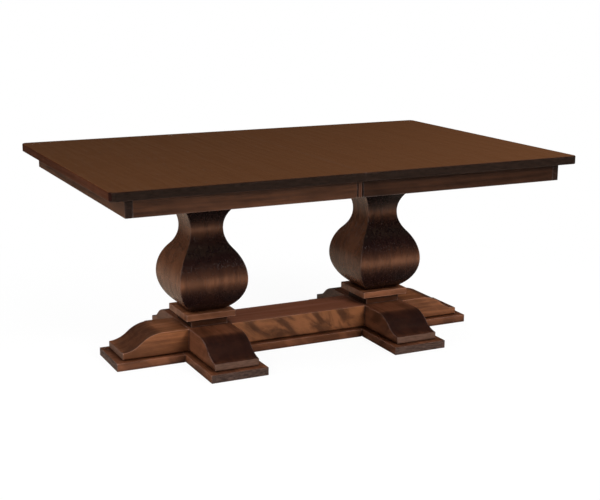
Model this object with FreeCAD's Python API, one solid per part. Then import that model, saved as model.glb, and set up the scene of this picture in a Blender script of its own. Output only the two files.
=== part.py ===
import FreeCAD, Part
import math
import os

# Double pedestal dining table. The top is in two halves that slide apart over a fixed base, on two sets of
# wooden slides that a rack and pinion keep in step. Millimetres, origin on the floor under the middle,
# X along the length, Y to the back, Z up.

# Top
top_length = 1829.0
top_width = 1219.0
table_height = 770.0
top_thickness = 31.0
top_corner_radius = 22.0
top_edge_round = 4.0
top_underside_ease = 2.0
seam_gap = 0.4
half_travel = 610.0

# Aprons
apron_height = 64.5
apron_thickness = 25.0
apron_end_setback = 58.5
apron_side_setback = 39.0
seam_strip_width = 15.0
seam_strip_gap = 4.0
strip_top_clearance = 0.5
strip_block_length = 52.0
strip_block_thickness = 20.0
strip_block_height = 54.0
brace_leg = 80.0
brace_height = 45.0

# Base
pedestal_setback = 533.2
board_width = 225.0
board_thickness = 31.0
board_reach = 381.5
foot_width = 175.0
foot_top = 122.0
foot_reach = 351.0
foot_flat_reach = 192.0
ogee_turn_reach = 279.0
ogee_turn_height = 89.0
nose_height = 60.0
nose_round = 10.0
neck_width = 150.0
neck_height = 32.0
plinth_width = 200.0
plinth_height = 25.0
eased_edge = 1.5

# Urn post, half widths, and heights as shares of the whole post
post_base_half = 62.0
belly_half = 138.2
belly_share = 0.2685
shoulder_half = 95.3
shoulder_share = 0.5114
head_half = 101.3
head_share = 0.8535

# Cleats and slides
cleat_width = 180.0
cleat_overhang = 70.0
cleat_thickness = 25.0
cleat_bevel = 12.0
slide_setback = 359.5
centre_rail_end_gap = 33.5
centre_rail_width = 38.0
centre_rail_height = 53.0
centre_rail_top_gap = 3.0
moving_rail_width = 30.0
moving_rail_end_gap = 18.5
moving_rail_inner_end = 650.0
rail_side_gap = 0.5
tongue_height = 12.0
tongue_rise = 15.0
groove_depth = 10.0
groove_top_gap = 0.4
packer_thickness = 6.0
packer_inner_end = 20.0
rack_floor_gap = 2.0
rack_thickness = 9.0

# Rack and pinion
gear_module = 4.0
pinion_teeth = 12
pressure_angle = math.radians(25.0)
addendum = 3.6
dedendum = 4.6
flank_slack = 0.2
rack_back = 4.4
rack_end = 12.0
stop_clearance = 2.0
pinion_thickness = 8.0
pinion_end_gap = 0.3
pivot_radius = 5.0
running_gap = 0.05
glue_gap = 0.05
pivot_head_radius = 9.0
pivot_head_height = 3.0
pivot_seat = 24.0
notch_clearance = 6.0

# Seam pins
seam_pin_radius = 5.0
seam_pin_seat = 22.0
seam_pin_reach = 18.0
seam_pin_gap = 0.3
seam_pin_end_room = 2.0
seam_pin_setback = 159.5

# Locks under the seam
lock_setback = 179.5
lock_plate_thickness = 2.5
lock_plate_length = 60.0
lock_plate_width = 36.0
lock_pivot_setback = 40.0
lever_plate_shift = -6.0
keeper_plate_shift = 12.0
lock_reach = 72.0
lock_lever_thickness = 4.0
lock_lever_width = 26.0
lock_gap = 0.3
lock_pin_radius = 4.0
lock_head_radius = 7.5
lock_head_height = 2.0
hook_gap = 0.6
hook_mouth_angle = math.radians(60.0)
thumb_tab_length = 18.0
thumb_tab_drop = 14.0

# Levels and places that follow from the sizes above
top_underside = table_height - top_thickness
apron_bottom = top_underside - apron_height
apron_face_x = top_length / 2 - apron_end_setback
apron_face_y = top_width / 2 - apron_side_setback
apron_inner_x = apron_face_x - apron_thickness
apron_inner_y = apron_face_y - apron_thickness
pedestal_offset = top_length / 2 - pedestal_setback
slide_offset = top_width / 2 - slide_setback
lock_offset = top_width / 2 - lock_setback
seam_pin_offset = top_width / 2 - seam_pin_setback
cleat_length = 2 * (slide_offset + cleat_overhang)
centre_rail_length = 2 * (apron_inner_x - centre_rail_end_gap)
moving_rail_outer_end = apron_inner_x - moving_rail_end_gap
neck_top = foot_top + neck_height
post_bottom = neck_top + plinth_height
moving_rail_top = top_underside - packer_thickness
pitch_radius = gear_module * pinion_teeth / 2
tooth_pitch = math.pi * gear_module
rack_tip = pitch_radius - addendum
rail_inner = centre_rail_width / 2 + rail_side_gap
cleat_top = moving_rail_top - centre_rail_top_gap - centre_rail_height
post_top = cleat_top - cleat_thickness
post_height = post_top - post_bottom
belly_rise = belly_share * post_height
shoulder_rise = shoulder_share * post_height
head_rise = head_share * post_height
rack_bottom = cleat_top + rack_floor_gap
moving_rail_bottom = rack_bottom + rack_thickness
groove_bottom = moving_rail_bottom + tongue_rise
groove_floor = centre_rail_width / 2 - groove_depth
pinion_bottom = rack_bottom + pinion_end_gap
pinion_top = pinion_bottom + pinion_thickness
notch_ceiling = pinion_top + pinion_end_gap
tip_radius = pitch_radius + addendum
board_side_reach = board_width / 2
foot_side_reach = foot_width / 2
lock_pivot_x = -lock_pivot_setback
keeper_x = lock_pivot_x + lock_reach
lever_plate_x = lock_pivot_x + lever_plate_shift
keeper_plate_x = keeper_x + keeper_plate_shift
lock_lever_top = top_underside - lock_plate_thickness - lock_gap
lock_lever_bottom = lock_lever_top - lock_lever_thickness
lock_head_top = lock_lever_bottom - lock_gap
UP = FreeCAD.Vector(0, 0, 1)


def vec(x, y, z):
    return FreeCAD.Vector(x, y, z)


def box(x0, x1, y0, y1, z0, z1):
    """Box between two opposite corners."""
    return Part.makeBox(x1 - x0, y1 - y0, z1 - z0, vec(x0, y0, z0))


def cylinder(radius, start, axis, length):
    return Part.makeCylinder(radius, length, start, axis)


def mirrored_x(shape):
    """The same piece on the other side of the seam."""
    return shape.mirror(vec(0, 0, 0), vec(1, 0, 0))


def mirrored_y(shape):
    """The same piece on the other long side."""
    return shape.mirror(vec(0, 0, 0), vec(0, 1, 0))


def prism(points, sweep):
    """Straight-sided solid from a closed outline of corner points."""
    return Part.Face(Part.makePolygon(points + points[:1])).extrude(sweep)


def solid_from(edges, sweep):
    """Straight-sided solid from a closed outline of lines and arcs."""
    wire = Part.Wire(Part.__sortEdges__(edges))
    return Part.Face(wire).extrude(sweep)


def eased(shape, size, chosen):
    """Chamfer the edges that the test picks."""
    return shape.makeChamfer(size, [edge for edge in shape.Edges if chosen(edge)])


def lies_at(edge, axis, value):
    """True when the whole edge lies in the plane where that coordinate has the value."""
    low = getattr(edge.BoundBox, axis + "Min")
    high = getattr(edge.BoundBox, axis + "Max")
    return abs(low - value) < 0.01 and abs(high - value) < 0.01


def eased_block(x0, x1, y0, y1, z0, z1):
    """Board with its upper edges eased."""
    return eased(box(x0, x1, y0, y1, z0, z1), eased_edge, lambda edge: lies_at(edge, "Z", z1))


def arc_from(start, heading, end):
    """Middle point and end heading of the arc that leaves start along heading and ends at end (2D)."""
    across = (end[0] - start[0], end[1] - start[1])
    normal = (-heading[1], heading[0])
    span = across[0] ** 2 + across[1] ** 2
    radius = span / (2 * (across[0] * normal[0] + across[1] * normal[1]))
    centre = (start[0] + normal[0] * radius, start[1] + normal[1] * radius)
    toward = (start[0] + end[0] - 2 * centre[0], start[1] + end[1] - 2 * centre[1])
    scale = abs(radius) / math.hypot(*toward)
    middle = (centre[0] + toward[0] * scale, centre[1] + toward[1] * scale)
    along = 2 * (heading[0] * across[0] + heading[1] * across[1]) / span
    return middle, (along * across[0] - heading[0], along * across[1] - heading[1])


def arc_edge(place, start, middle, end):
    """Arc edge through three 2D points that place puts in space."""
    return Part.Arc(place(*start), place(*middle), place(*end)).toShape()


def line_edge(place, start, end):
    return Part.makeLine(place(*start), place(*end))


def save(name, shape):
    shape.exportStep(os.path.join("parts", name + ".step"))


def save_group(name, shapes):
    save(name, Part.makeCompound(shapes))


# Base


def ogee_run(place):
    """Edges of a foot's end, from the flat top over the ogee to the underside."""
    flat = (foot_flat_reach, foot_top)
    turn = (ogee_turn_reach, ogee_turn_height)
    nose = (foot_reach, nose_height)
    under = (foot_reach, board_thickness + nose_round)
    sole = (foot_reach - nose_round, board_thickness)
    crest_middle, slope = arc_from(flat, (1, 0), turn)
    cove_middle, _ = arc_from(turn, slope, nose)
    round_middle, _ = arc_from(under, (0, -1), sole)
    return [
        arc_edge(place, flat, crest_middle, turn),
        arc_edge(place, turn, cove_middle, nose),
        line_edge(place, nose, under),
        arc_edge(place, under, round_middle, sole),
    ]


def cross_foot():
    """Front to back foot with an ogee at both ends, under the post."""
    front = lambda reach, z: vec(pedestal_offset - foot_side_reach, -reach, z)
    back = lambda reach, z: vec(pedestal_offset - foot_side_reach, reach, z)
    edges = ogee_run(front) + ogee_run(back)
    edges.append(Part.makeLine(front(foot_flat_reach, foot_top), back(foot_flat_reach, foot_top)))
    sole_reach = foot_reach - nose_round
    edges.append(Part.makeLine(front(sole_reach, board_thickness), back(sole_reach, board_thickness)))
    return solid_from(edges, vec(foot_width, 0, 0))


def end_foot():
    """Foot at the table's end, butted to the cross foot."""
    place = lambda reach, z: vec(pedestal_offset + reach, -foot_side_reach, z)
    butt_top = place(foot_side_reach, foot_top)
    butt_sole = place(foot_side_reach, board_thickness)
    edges = ogee_run(place)
    edges.append(Part.makeLine(butt_top, place(foot_flat_reach, foot_top)))
    edges.append(Part.makeLine(butt_top, butt_sole))
    edges.append(Part.makeLine(butt_sole, place(foot_reach - nose_round, board_thickness)))
    return solid_from(edges, vec(0, foot_width, 0))


def stretcher():
    """Beam between the two cross feet."""
    reach = pedestal_offset - foot_side_reach
    return box(-reach, reach, -foot_side_reach, foot_side_reach, board_thickness, foot_top)


def cross_board():
    """Floor board under the cross foot."""
    return eased_block(
        pedestal_offset - board_side_reach, pedestal_offset + board_side_reach,
        -board_reach, board_reach, 0, board_thickness,
    )


def end_board():
    """Floor board under the end foot."""
    return eased_block(
        pedestal_offset + board_side_reach, pedestal_offset + board_reach,
        -board_side_reach, board_side_reach, 0, board_thickness,
    )


def stretcher_board():
    """Floor board under the stretcher."""
    reach = pedestal_offset - board_side_reach
    return eased_block(-reach, reach, -board_side_reach, board_side_reach, 0, board_thickness)


def square_block(width, z0, z1):
    """Square block on a pedestal's axis, every edge eased."""
    half = width / 2
    blank = box(pedestal_offset - half, pedestal_offset + half, -half, half, z0, z1)
    return eased(blank, eased_edge, lambda edge: True)


def urn_outline(place):
    """Edges of one side of the urn, from its base to the top of its square head."""
    base = (post_base_half, post_bottom)
    belly = (belly_half, post_bottom + belly_rise)
    shoulder = (shoulder_half, post_bottom + shoulder_rise)
    flare = (head_half, post_bottom + head_rise)
    head = (head_half, post_top)
    lower_middle, _ = arc_from(belly, (0, -1), base)
    upper_middle, slope = arc_from(belly, (0, 1), shoulder)
    neck_middle, _ = arc_from(shoulder, slope, flare)
    return [
        arc_edge(place, base, lower_middle, belly),
        arc_edge(place, belly, upper_middle, shoulder),
        arc_edge(place, shoulder, neck_middle, flare),
        line_edge(place, flare, head),
    ]


def urn_post():
    """Square post whose four faces follow the same urn curve."""
    depth = 2 * belly_half
    right = lambda half, z: vec(half, -depth, z)
    left = lambda half, z: vec(-half, -depth, z)
    edges = urn_outline(right) + urn_outline(left)
    edges.append(Part.makeLine(left(post_base_half, post_bottom), right(post_base_half, post_bottom)))
    edges.append(Part.makeLine(left(head_half, post_top), right(head_half, post_top)))
    one_way = solid_from(edges, vec(0, 2 * depth, 0))
    other_way = one_way.copy()
    other_way.rotate(vec(0, 0, 0), UP, 90)
    urn = one_way.common(other_way)
    urn.translate(vec(pedestal_offset, 0, 0))
    return urn


def cleat():
    """Board across the top of a post that carries the centre rails, its ends bevelled underneath."""
    start_x = pedestal_offset - cleat_width / 2
    end = cleat_length / 2
    outline = [
        vec(start_x, -end, cleat_top),
        vec(start_x, end, cleat_top),
        vec(start_x, end, post_top + cleat_bevel),
        vec(start_x, end - cleat_bevel, post_top),
        vec(start_x, cleat_bevel - end, post_top),
        vec(start_x, -end, post_top + cleat_bevel),
    ]
    return prism(outline, vec(cleat_width, 0, 0))


# Slides


def set_centre(side):
    """Y of a slide set's middle, side is -1 at the front and +1 at the back."""
    return side * slide_offset


def centre_rail(side):
    """Fixed rail with a groove in both sides and a notch underneath for the pinion."""
    middle = set_centre(side)
    half = centre_rail_width / 2
    top = cleat_top + centre_rail_height
    groove_top = groove_bottom + tongue_height + groove_top_gap
    right_side = [
        (half, cleat_top),
        (half, groove_bottom),
        (groove_floor, groove_bottom),
        (groove_floor, groove_top),
        (half, groove_top),
        (half, top),
    ]
    left_side = [(-y, z) for y, z in reversed(right_side)]
    start_x = -centre_rail_length / 2
    outline = [vec(start_x, middle + y, z) for y, z in right_side + left_side]
    rail = prism(outline, vec(centre_rail_length, 0, 0))
    reach = tip_radius + notch_clearance
    notch = box(-reach, reach, middle - half, middle + half, cleat_top, notch_ceiling)
    pivot_hole = cylinder(pivot_radius + glue_gap, vec(0, middle, notch_ceiling), UP, pivot_seat + glue_gap)
    return rail.cut([notch, pivot_hole])


def pinion_pivot(side):
    """Headed pin that the pinion turns on, driven up into the centre rail."""
    middle = set_centre(side)
    head_top = pinion_bottom - pinion_end_gap
    head_start = vec(0, middle, head_top - pivot_head_height)
    head = cylinder(pivot_head_radius, head_start, UP, pivot_head_height)
    pin = cylinder(pivot_radius, vec(0, middle, head_top), UP, notch_ceiling + pivot_seat - head_top)
    return head.fuse(pin).removeSplitter()


def moving_rail(side, toward):
    """Rail of the right half: toward is +1 when it runs on the back of its centre rail, -1 on the front."""
    middle = set_centre(side)
    tongue_tip = groove_floor + rail_side_gap
    outer = rail_inner + moving_rail_width
    outline = [
        (rail_inner, moving_rail_bottom),
        (outer, moving_rail_bottom),
        (outer, moving_rail_top),
        (rail_inner, moving_rail_top),
        (rail_inner, groove_bottom + tongue_height),
        (tongue_tip, groove_bottom + tongue_height),
        (tongue_tip, groove_bottom),
        (rail_inner, groove_bottom),
    ]
    points = [vec(-moving_rail_inner_end, middle + toward * y, z) for y, z in outline]
    return prism(points, vec(moving_rail_inner_end + moving_rail_outer_end, 0, 0))


def packer(side, toward):
    """Strip between a moving rail and its own half, so that the rail clears the other half."""
    y = set_centre(side) + toward * (rail_inner + moving_rail_width / 2)
    half = moving_rail_width / 2
    return box(
        packer_inner_end, moving_rail_outer_end, y - half, y + half, moving_rail_top, top_underside
    )


def rack(side, toward):
    """Toothed strip under the right half's rail. The uncut ends stop the pinion."""
    middle = set_centre(side)
    root = pitch_radius + dedendum
    back = root + rack_back
    run_out = math.sqrt(tip_radius ** 2 - rack_tip ** 2) + stop_clearance
    before = math.ceil(run_out / tooth_pitch)
    after = math.ceil((half_travel + run_out) / tooth_pitch)
    mouth = tooth_pitch / 4 + flank_slack + addendum * math.tan(pressure_angle)
    floor = tooth_pitch / 4 + flank_slack - dedendum * math.tan(pressure_angle)
    start = -after * tooth_pitch - mouth - rack_end
    end = before * tooth_pitch + mouth + rack_end
    outline = [(start, rack_tip)]
    for i in range(-after, before + 1):
        x = i * tooth_pitch
        outline += [(x - mouth, rack_tip), (x - floor, root), (x + floor, root), (x + mouth, rack_tip)]
    outline += [(end, rack_tip), (end, back), (start, back)]
    points = [vec(x, middle + toward * y, rack_bottom) for x, y in outline]
    return prism(points, vec(0, 0, rack_thickness))


def flank_angle(radius):
    """Half the angle of a pinion tooth at a radius, for an involute flank."""
    base = pitch_radius * math.cos(pressure_angle)
    involute = lambda angle: math.tan(angle) - angle
    at_radius = math.acos(min(1.0, base / radius))
    at_pitch = math.pi / (2 * pinion_teeth) - flank_slack / pitch_radius
    return at_pitch + involute(pressure_angle) - involute(at_radius)


def pinion(side):
    """Spur gear between the two racks of a slide set, turning about an upright pivot."""
    centre = vec(0, set_centre(side), pinion_bottom)
    base = pitch_radius * math.cos(pressure_angle)
    root = pitch_radius - dedendum
    rising = [root, base, pitch_radius, tip_radius]
    outline = []
    for i in range(pinion_teeth):
        middle = 2 * math.pi * i / pinion_teeth
        sides = [(radius, -1) for radius in rising] + [(radius, 1) for radius in reversed(rising)]
        for radius, hand in sides:
            angle = middle + hand * flank_angle(max(radius, base))
            outline.append(centre + vec(radius * math.cos(angle), radius * math.sin(angle), 0))
    gear = prism(outline, vec(0, 0, pinion_thickness))
    return gear.cut(cylinder(pivot_radius + running_gap, centre, UP, pinion_thickness))


# Top halves, described for the right half


def seam_pins(length_in, length_out, grow=0.0):
    """Pins across the seam: how far they reach into the left half and into the right half."""
    z = table_height - top_thickness / 2
    radius = seam_pin_radius + grow
    start = seam_gap / 2 + length_in
    return [
        cylinder(radius, vec(-start, y, z), vec(1, 0, 0), start + length_out)
        for y in (-seam_pin_offset, 0, seam_pin_offset)
    ]


def panel_blank():
    """Half of the top with rounded outer corners and eased outer edges."""
    inner = seam_gap / 2
    outer = top_length / 2
    side = top_width / 2
    turn = top_corner_radius
    diagonal = turn * (1 - math.sqrt(0.5))
    place = lambda x, y: vec(x, y, top_underside)
    edges = [
        line_edge(place, (inner, -side), (outer - turn, -side)),
        arc_edge(place, (outer - turn, -side), (outer - diagonal, diagonal - side), (outer, turn - side)),
        line_edge(place, (outer, turn - side), (outer, side - turn)),
        arc_edge(place, (outer, side - turn), (outer - diagonal, side - diagonal), (outer - turn, side)),
        line_edge(place, (outer - turn, side), (inner, side)),
        line_edge(place, (inner, side), (inner, -side)),
    ]
    slab = solid_from(edges, vec(0, 0, top_thickness))
    outer_rim = lambda edge, z: lies_at(edge, "Z", z) and not lies_at(edge, "X", inner)
    slab = slab.makeFillet(top_edge_round, [edge for edge in slab.Edges if outer_rim(edge, table_height)])
    return eased(slab, top_underside_ease, lambda edge: outer_rim(edge, top_underside))


def end_apron():
    """Apron across the end, full width, so that its end grain shows at the sides."""
    blank = box(apron_inner_x, apron_face_x, -apron_face_y, apron_face_y, apron_bottom, top_underside)
    return eased(blank, eased_edge, lambda edge: not lies_at(edge, "Z", top_underside))


def front_apron():
    """Apron along the front, from the seam strip's gap to the end apron."""
    start = seam_strip_width / 2 + seam_strip_gap
    blank = box(start, apron_inner_x, -apron_face_y, -apron_inner_y, apron_bottom, top_underside)
    return eased(blank, eased_edge, lambda edge: lies_at(edge, "Z", apron_bottom))


def seam_strip():
    """Strip in the front apron at the seam, carried by the left half."""
    half = seam_strip_width / 2
    return box(
        -half, half, -apron_face_y, -apron_inner_y, apron_bottom, top_underside - strip_top_clearance
    )


def strip_block():
    """Block behind the front apron of the left half that the seam strip is glued to."""
    top = top_underside - strip_top_clearance
    return box(
        seam_strip_width / 2 - seam_strip_gap - strip_block_length, seam_strip_width / 2,
        -apron_inner_y, strip_block_thickness - apron_inner_y, top - strip_block_height, top,
    )


def corner_brace():
    """Diagonal block in the front corner of the aprons, under the top."""
    cut = brace_leg / 4
    points = [
        vec(apron_inner_x, -apron_inner_y, top_underside),
        vec(apron_inner_x, brace_leg - apron_inner_y, top_underside),
        vec(apron_inner_x - cut, brace_leg - apron_inner_y, top_underside),
        vec(apron_inner_x - brace_leg, cut - apron_inner_y, top_underside),
        vec(apron_inner_x - brace_leg, -apron_inner_y, top_underside),
    ]
    return prism(points, vec(0, 0, -brace_height))


# Locks, described for the front


def lock_plate_at(x):
    """Plain plate screwed under the top, centred on x."""
    half_length = lock_plate_length / 2
    half_width = lock_plate_width / 2
    z = top_underside - lock_plate_thickness
    return box(
        x - half_length, x + half_length,
        -lock_offset - half_width, half_width - lock_offset, z, top_underside,
    )


def headed_pin(x):
    """Pin hanging from a lock plate with a flat head that carries the lever."""
    start = lock_head_top - lock_head_height
    head = cylinder(lock_head_radius, vec(x, -lock_offset, start), UP, lock_head_height)
    shank_length = top_underside - lock_head_top
    shank = cylinder(lock_pin_radius, vec(x, -lock_offset, lock_head_top), UP, shank_length)
    return head.fuse(shank).removeSplitter()


def plate_with_pin(plate_x, pin_x):
    """Lock plate with its pin, the lever's pivot on the left half or the hook's keeper on the right."""
    return lock_plate_at(plate_x).fuse(headed_pin(pin_x)).removeSplitter()


def lock_lever():
    """Hook lever at rest, unlatched, lying along the seam and pointing at the slides."""
    pivot = vec(lock_pivot_x, -lock_offset, lock_lever_bottom)
    half = lock_lever_width / 2
    arm = box(0, lock_reach, -half, half, 0, lock_lever_thickness)
    heel = cylinder(half, vec(0, 0, 0), UP, lock_lever_thickness)
    toe = cylinder(half, vec(lock_reach, 0, 0), UP, lock_lever_thickness)
    tab_x = lock_reach / 2
    tab = box(
        tab_x - thumb_tab_length / 2, tab_x + thumb_tab_length / 2,
        half - lock_lever_thickness, half, -thumb_tab_drop, lock_lever_thickness,
    )
    blank = arm.fuse([heel, toe, tab]).removeSplitter()
    bore = cylinder(lock_pin_radius + running_gap, vec(0, 0, 0), UP, lock_lever_thickness)
    lever = blank.cut([bore, hook_slot()])
    lever.translate(pivot)
    lever.rotate(pivot, UP, 90)
    return lever


def hook_slot():
    """Slot round the pivot that lets the hook swing over the keeper's pin."""
    inner = lock_reach - lock_pin_radius - hook_gap
    outer = lock_reach + lock_pin_radius + hook_gap
    ring = cylinder(outer, vec(0, 0, 0), UP, lock_lever_thickness)
    ring = ring.cut(cylinder(inner, vec(0, 0, 0), UP, lock_lever_thickness))
    far = 2 * lock_reach
    edge = lambda angle: vec(far * math.cos(angle), far * math.sin(angle), 0)
    wedge = prism([vec(0, 0, 0), edge(-hook_mouth_angle), edge(0)], vec(0, 0, lock_lever_thickness))
    back = cylinder(lock_pin_radius + hook_gap, vec(lock_reach, 0, 0), UP, lock_lever_thickness)
    return ring.common(wedge).fuse(back)


def save_base():
    """Every fixed piece."""
    pieces = {
        "cross_foot": cross_foot(),
        "end_foot": end_foot(),
        "cross_board": cross_board(),
        "end_board": end_board(),
        "neck_block": square_block(neck_width, foot_top, neck_top),
        "plinth": square_block(plinth_width, neck_top, post_bottom),
        "urn_post": urn_post(),
        "cleat": cleat(),
    }
    for name, shape in pieces.items():
        save(name + "_right", shape)
        save(name + "_left", mirrored_x(shape))
    save("stretcher", stretcher())
    save("stretcher_board", stretcher_board())


def save_slides():
    """Centre rails with their pinions and pivots."""
    for name, side in (("front", -1), ("back", 1)):
        save("centre_rail_" + name, centre_rail(side))
        save("pinion_" + name, pinion(side))
    save_group("pinion_pivots", [pinion_pivot(-1), pinion_pivot(1)])


def save_half(half, rails, turned, pin_holes):
    """One half of the top with its aprons and rails, turned to its own side of the seam."""
    panel = panel_blank().cut([turned(hole) for hole in pin_holes])
    save(half + "_top_panel", turned(panel))
    save(half + "_end_apron", turned(end_apron()))
    save(half + "_front_apron", turned(front_apron()))
    save(half + "_back_apron", turned(mirrored_y(front_apron())))
    brace = turned(corner_brace())
    save_group(half + "_corner_braces", [brace, mirrored_y(brace)])
    for name, (side, toward) in zip(("front", "back"), rails):
        save(half + "_rail_" + name, turned(moving_rail(side, toward)))
    save_group(half + "_racks", [turned(rack(side, toward)) for side, toward in rails])
    save_group(half + "_packers", [turned(packer(side, toward)) for side, toward in rails])


def front_and_back(shapes):
    return shapes + [mirrored_y(shape) for shape in shapes]


def save_halves():
    """Both halves. The right half's rails run outside the centre rails, the left half's inside."""
    loose_pins = seam_pins(seam_pin_seat, seam_pin_reach + seam_pin_end_room, seam_pin_gap)
    tight_pins = seam_pins(seam_pin_seat, seam_pin_reach, glue_gap)
    same = lambda shape: shape
    save_half("right", [(-1, -1), (1, 1)], same, loose_pins)
    save_half("left", [(-1, 1), (1, -1)], mirrored_x, tight_pins)
    save_group("seam_pins", seam_pins(seam_pin_seat, seam_pin_reach))
    save_group("seam_strips", front_and_back([seam_strip()]))
    save_group("seam_strip_blocks", front_and_back([strip_block()]))


def save_locks():
    save_group("lock_plates", front_and_back([plate_with_pin(lever_plate_x, lock_pivot_x)]))
    save_group("lock_keepers", front_and_back([plate_with_pin(keeper_plate_x, keeper_x)]))
    save("lock_lever_front", lock_lever())
    save("lock_lever_back", mirrored_y(lock_lever()))


os.makedirs("parts", exist_ok=True)
save_base()
save_slides()
save_halves()
save_locks()
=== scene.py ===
import math

import bmesh
import bpy
from mathutils import Matrix, Vector


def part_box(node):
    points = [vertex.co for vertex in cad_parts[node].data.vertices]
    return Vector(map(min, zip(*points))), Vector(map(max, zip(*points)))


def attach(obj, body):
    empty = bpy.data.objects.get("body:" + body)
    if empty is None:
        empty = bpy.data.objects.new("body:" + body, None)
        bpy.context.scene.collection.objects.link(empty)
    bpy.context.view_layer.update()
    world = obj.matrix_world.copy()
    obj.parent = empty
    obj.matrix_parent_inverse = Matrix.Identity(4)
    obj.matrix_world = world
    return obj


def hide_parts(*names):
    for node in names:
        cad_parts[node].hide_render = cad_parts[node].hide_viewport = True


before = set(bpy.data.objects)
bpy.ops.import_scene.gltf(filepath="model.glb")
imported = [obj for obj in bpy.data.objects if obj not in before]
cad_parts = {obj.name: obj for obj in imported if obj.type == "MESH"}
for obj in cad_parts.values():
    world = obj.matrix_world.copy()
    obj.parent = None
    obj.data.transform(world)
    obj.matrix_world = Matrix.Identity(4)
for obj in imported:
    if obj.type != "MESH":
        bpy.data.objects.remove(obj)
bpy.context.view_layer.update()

# Double pedestal dining table in dark stained wood. Metres, in the frame of the solids.

# Top and aprons
corner_radius = 0.022
corner_segments = 10
seam_x = 0.0
upper_arris = 0.004
upper_segments = 5
under_arris = 0.002
under_segments = 3
seam_arris = 0.0004
pin_hole_radius = 0.0053
pin_hole_depth = 0.02
pin_hole_sides = 24

# Arrises of the other pieces, eased where two faces meet at more than the sharp angle
eased_arris = 0.0018
easing_segments = 3
sharp_angle = math.radians(38)

# Urn post, half widths, and heights as shares of the whole post
urn_foot_half = 0.062
urn_shoulder_half = 0.0953
urn_head_half = 0.1013
belly_share = 0.2685
shoulder_share = 0.5114
head_share = 0.8535
below_belly_steps = 14
above_belly_steps = 12
neck_steps = 18

# Ogee feet, reaches from the middle of the pedestal
flat_reach = 0.192
turn_reach = 0.279
turn_height = 0.089
nose_height = 0.060
crest_steps = 10
cove_steps = 9
under_round = 0.008
under_round_segments = 6

# Screws under the slides
screw_radius = 0.0048
screw_height = 0.0016
screw_sides = 16
screw_wall = 0.55 * screw_radius
screw_socket = 0.6 * screw_height
screw_arris = 0.0003
rail_screw_places = (0.15, 0.45, 0.74)

# Two places nearer than this are the same
same_place = 1e-5

# Least part of a face's normal along a direction for the face to look that way, in shaping and in finishing
square_on = 0.9
facing_share = 0.75

# Width of the boards in the top, and a width whose boards meet only on the table's middle lines
top_board = 0.118
whole = 1.0

# Glued boards: distances from a joint at which its dark line begins to fade and is gone, the most that the
# figure shifts from board to board, and the step that keeps the draws of different rows apart
glue_fade = (0.0002, 0.0011)
board_shift = (9.0, 5.0, 5.0)
row_step = 7.31

# Figure of the wood and the steel, in marks to the metre along the grain and across it
broad_streaks = (1.6, 26.0, 26.0)
fine_streaks = (4.0, 85.0, 85.0)
flames = (7.0, 8.0, 16.0)
flame_slant = math.radians(-40)
pores = (60.0, 1300.0, 1300.0)
arris_mark_patches = (14.0, 40.0, 40.0)
end_rings = (3.0, 40.0, 260.0)
end_specks = (20.0, 900.0, 900.0)
drawing_marks = (60.0, 900.0, 900.0)
zinc_bloom = (45.0, 45.0, 45.0)

# Ranges over which each mark comes in or fades out
streak_range = (0.40, 0.61)
flame_range = (0.40, 0.62)
pore_range = (0.60, 0.74)
patch_range = (0.35, 0.65)
end_range = (0.36, 0.64)
bloom_range = (0.35, 0.65)
faces_along_y_range = (0.25, 0.6)
corner_shade_range = (0.35, 0.92)
wear_and_highlight_range = (0.50, 0.85)

# Colour where cut grain drank its fill of stain, darkened also as painted shade, with its blue raised as a
# painted sheen; and the tint of the painted shade in inner corners, partly stain that the cloth left thick
drunk_stain_shade_and_sheen = (0.003, 0.0015, 0.003, 1)
shade_and_stain_tint = (0.35, 0.32, 0.32, 1)

# How far each mark counts in the tone of the wood
tone_share = 0.2
pore_share = 0.35
pore_shade = 0.35
glue_share = 0.45
speck_share = 0.3
# Lift of the arrises' colour, partly wear and partly a painted highlight
wear_and_highlight_lift = 0.12
least_patch = 0.35

# End grain on its arrises, partly worn and partly painted highlight, and zinc in its grey and its yellow
# bloom
end_wear_and_highlight_share = 0.35
end_wear_and_highlight_gain = 1.6
end_wear_and_highlight_lift = 0.02
zinc_grey = (0.50, 0.50, 0.48, 1)
zinc_yellow = (0.63, 0.60, 0.52, 1)

# How deep the surface is worked: the arrises, partly worn and partly painted highlight, and the relief of
# the grain and of the drawing marks
arris_depth = 0.006
streak_relief = 0.35
wood_relief = 0.0004
steel_relief = 0.0002

# Rays that look for an inner corner or an arris
corner_samples = 8

# Floor and room: what they show to the camera and to the other rays
floor_size = 240
floor_drop = 0.0005
bounce_grey = (0.55, 0.55, 0.55, 1)
shadow_grey = (0.07, 0.07, 0.07, 1)
shadow_glow = 0.94
shadow_reach = (0.9, 2.2)
room_grey = (0.012, 0.012, 0.012, 1)

# Pool of light that the lacquer mirrors from the floor: its strength at the heart and in the ring round it,
# and the strength at a metre of the light that fades outwards
pool_middle = (0.1, -0.5, 0.0)
pool_colour = (1, 0.81, 0.64, 1)
pool_heart_reach = 0.5
pool_ring_reach = 1.0
pool_heart = 0.05
pool_ring = 0.34
pool_fade = 0.6

# Camera, found from the straight edges in the photograph, for a frame 600 wide and 500 high
camera_place = (-1.96134, -4.13930, 1.44798)
camera_yaw = math.radians(25.8207)
camera_pitch = math.radians(13.3048)
camera_roll = math.radians(0.1569)
focal_pixels = 1180.12
frame_pixels = 600
sensor_width = 36.0

# Turns that bring the grain of a piece along X, where its figure is drawn
grain_turns = {
    "X": (0.0, 0.0, 0.0),
    "Y": (0.0, 0.0, -math.pi / 2),
    "Z": (0.0, math.pi / 2, 0.0),
}
axes = {"X": Vector((1, 0, 0)), "Y": Vector((0, 1, 0)), "Z": Vector((0, 0, 1))}


# Shaping by hand


def take_up(name):
    """Name the fresh primitive, put its place into its mesh and open it for shaping."""
    piece = bpy.context.object
    piece.name = name
    piece.data.name = name
    bpy.ops.object.transform_apply(location=True, rotation=True, scale=True)
    bpy.ops.object.mode_set(mode="EDIT")
    return piece


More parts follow.
